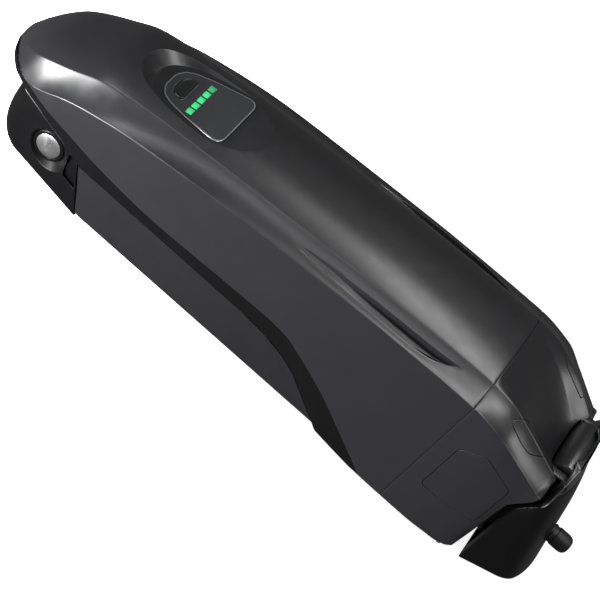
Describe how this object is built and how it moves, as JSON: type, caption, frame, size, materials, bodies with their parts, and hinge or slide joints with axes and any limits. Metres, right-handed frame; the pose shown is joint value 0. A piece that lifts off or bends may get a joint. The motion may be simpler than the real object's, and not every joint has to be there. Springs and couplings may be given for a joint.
{
  "type": "e-bike battery pack",
  "caption": "Down-tube battery pack for an electric bicycle, seated in its two-piece frame mount with key lock, hinge hood and contact block.",
  "frame": {"origin": "bottom centre of the bounding box, on the plane of the two mount feet", "axes": "+X along the pack from the lock end to the connector end, +Z away from the bicycle frame; the key lock faces -Y"},
  "size_m": [0.409, 0.0918, 0.111],
  "materials": {
    "shell_plastic": "fine-grained satin dark grey moulding",
    "case_plastic": "fine-grained dark grey moulding, a little duller than the shell",
    "mount_plastic": "matte black glass-filled moulding",
    "panel_plastic": "finely textured dark grey face plate",
    "trim_metal": "thin satin silver trim line",
    "lock_metal": "lathe-turned brushed face",
    "steel": "zinc-plated steel",
    "led_window": "lit green light window",
    "cell_can": null,
    "inner_plastic": "plain black moulding",
    "circuit_board": "green solder-masked board",
    "contact_metal": "copper-alloy contact blade",
    "soft_rubber": "matte black rubber",
    "fuse_body": "glazed cream fuse body",
    "lead_red": "red insulated lead",
    "lead_black": "black insulated lead"
  },
  "bodies": {
    "mount": {"upper_mount_housing": "mount_plastic", "upper_mount_inlay": "panel_plastic", "lock_collar": "mount_plastic", "latch_spring": "steel", "upper_mount_bolt_1": "steel", "upper_mount_bolt_2": "steel", "lower_mount_housing": "mount_plastic", "lower_mount_hood": "mount_plastic", "hinge_pin": "steel", "connector_block": "inner_plastic", "terminal_blade_1": "contact_metal", "terminal_blade_2": "contact_metal", "terminal_blade_3": "contact_metal", "terminal_blade_4": "contact_metal", "lower_mount_bolt_1": "steel", "lower_mount_bolt_2": "steel", "cable_gland": "soft_rubber"},
    "lock": {"lock_cylinder": "lock_metal"},
    "latch": {"latch_bolt": "steel"},
    "button": {"power_button": "soft_rubber"},
    "cover": {"charge_cover": "case_plastic"},
    "pack": {"upper_shell": "shell_plastic", "end_cap": "shell_plastic", "lower_case": "case_plastic", "display_panel": "panel_plastic", "display_bezel": "trim_metal", "strike_plate": "steel", "case_screw_1": "steel", "case_screw_2": "steel", "case_screw_3": "steel", "case_screw_4": "steel", "led_window_1": "led_window", "led_window_2": "led_window", "led_window_3": "led_window", "led_window_4": "led_window", "led_window_5": "led_window", "cell_group_01": "cell_can", "cell_group_02": "cell_can", "cell_group_03": "cell_can", "cell_group_04": "cell_can", "cell_group_05": "cell_can", "cell_group_06": "cell_can", "cell_group_07": "cell_can", "cell_group_08": "cell_can", "cell_group_09": "cell_can", "cell_group_10": "cell_can", "cell_tray_right": "inner_plastic", "cell_tray_left": "inner_plastic", "discharge_socket": "inner_plastic", "charge_socket": "inner_plastic", "display_board": "circuit_board", "battery_management_board": "circuit_board", "cap_seal": "soft_rubber", "ridge_plug_right": "soft_rubber", "ridge_plug_left": "soft_rubber", "corner_foot_right": "soft_rubber", "corner_foot_left": "soft_rubber", "main_fuse": "fuse_body", "positive_lead": "lead_red", "negative_lead": "lead_black"}
  },
  "joints": [
    {"name": "pack_swing", "type": "hinge", "parent": "mount", "child": "pack", "pos_m": [0.1675, 0, 0.078], "axis": [0, 1, 0], "range_deg": [0, 20]},
    {"name": "lock_turn", "type": "hinge", "parent": "mount", "child": "lock", "pos_m": [-0.1541, -0.032, 0.0218], "axis": [0, -1, 0], "range_deg": [0, 90]},
    {"name": "latch_slide", "type": "slide", "parent": "mount", "child": "latch", "axis": [1, 0, 0], "range_m": [0, 0.0095]},
    {"name": "button_press", "type": "slide", "parent": "pack", "child": "button", "axis": [0, 0, -1], "range_m": [0, 0.0008], "stiffness_N_per_m": 600},
    {"name": "cover_hinge", "type": "hinge", "parent": "pack", "child": "cover", "pos_m": [0.1147, -0.0459, 0.052], "axis": [0, 0, -1], "range_deg": [0, 110]}
  ],
  "couplings": [
    {"joint": "latch_slide", "follows": "lock_turn", "m_per_rad": 0.006047}
  ]
}
